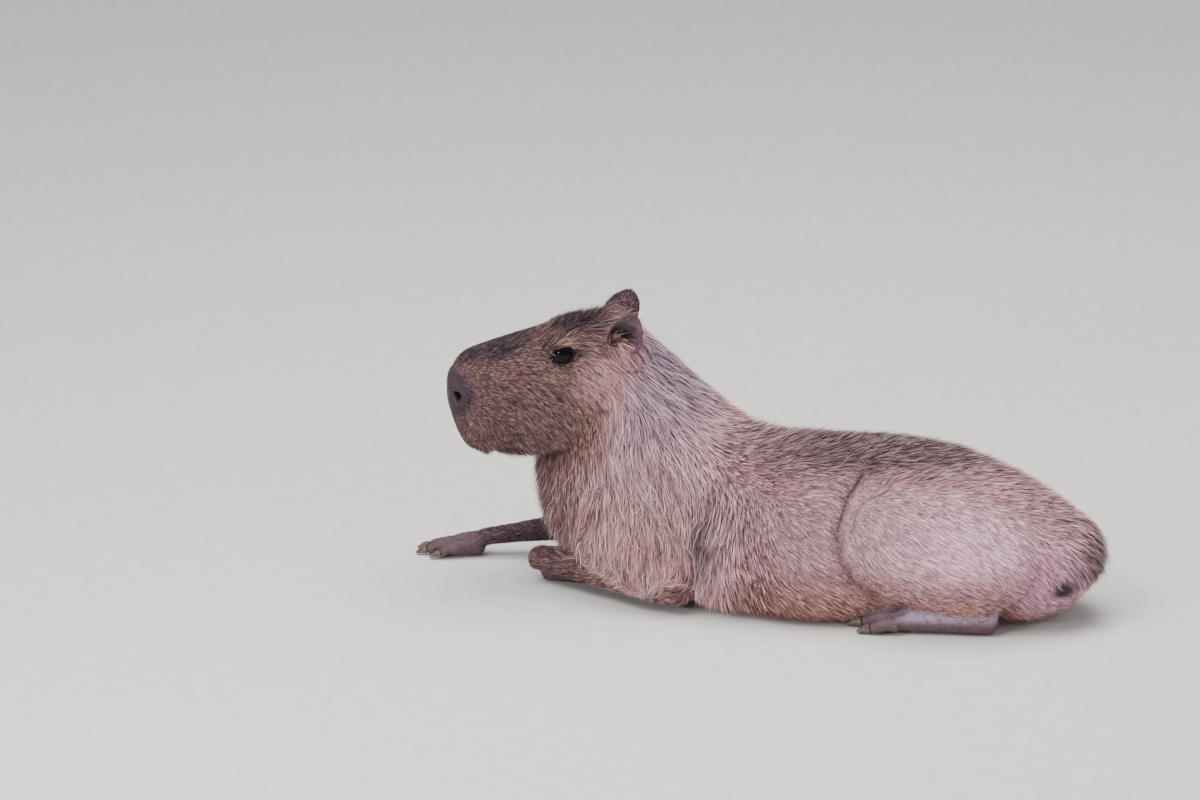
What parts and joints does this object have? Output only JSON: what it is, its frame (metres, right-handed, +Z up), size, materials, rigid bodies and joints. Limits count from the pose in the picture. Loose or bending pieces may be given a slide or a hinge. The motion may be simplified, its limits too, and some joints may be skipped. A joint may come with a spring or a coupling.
{
  "type": "capybara",
  "caption": "Life-size capybara lying on its belly with its head raised, short legs folded and one foreleg stretched forward.",
  "frame": {"origin": "middle of the whole animal's box, on the floor it lies on", "axes": "-X towards the nose, +Y to the animal's right, +Z up"},
  "size_m": [0.9836, 0.3014, 0.4184],
  "materials": {
    "coat": "coarse reddish brown hair with pale tips",
    "skin": "bare grey-violet skin, dusty below",
    "ear": "thin dark skin with a short brown fringe",
    "eye": "wet and glossy, nearly black",
    "claw": "dull dark horn"
  },
  "bodies": {
    "root": {"claw_fore_left_1": "claw", "claw_fore_left_2": "claw", "claw_fore_left_3": "claw", "claw_fore_left_4": "claw", "claw_fore_right_1": "claw", "claw_fore_right_2": "claw", "claw_fore_right_3": "claw", "claw_fore_right_4": "claw", "claw_hind_left_1": "claw", "claw_hind_left_2": "claw", "claw_hind_left_3": "claw", "claw_hind_right_1": "claw", "claw_hind_right_2": "claw", "claw_hind_right_3": "claw", "ear_left": "ear", "ear_right": "ear", "eye_left": "eye", "eye_right": "eye", "forearm_left": "coat", "forearm_right": "coat", "forefoot_left": "skin", "forefoot_right": "skin", "head": "coat", "hindfoot_left": "skin", "hindfoot_right": "skin", "neck": "coat", "shank_left": "coat", "shank_right": "coat", "thigh_left": "coat", "thigh_right": "coat", "torso": "coat", "upper_arm_left": "coat", "upper_arm_right": "coat"}
  },
  "joints": []
}
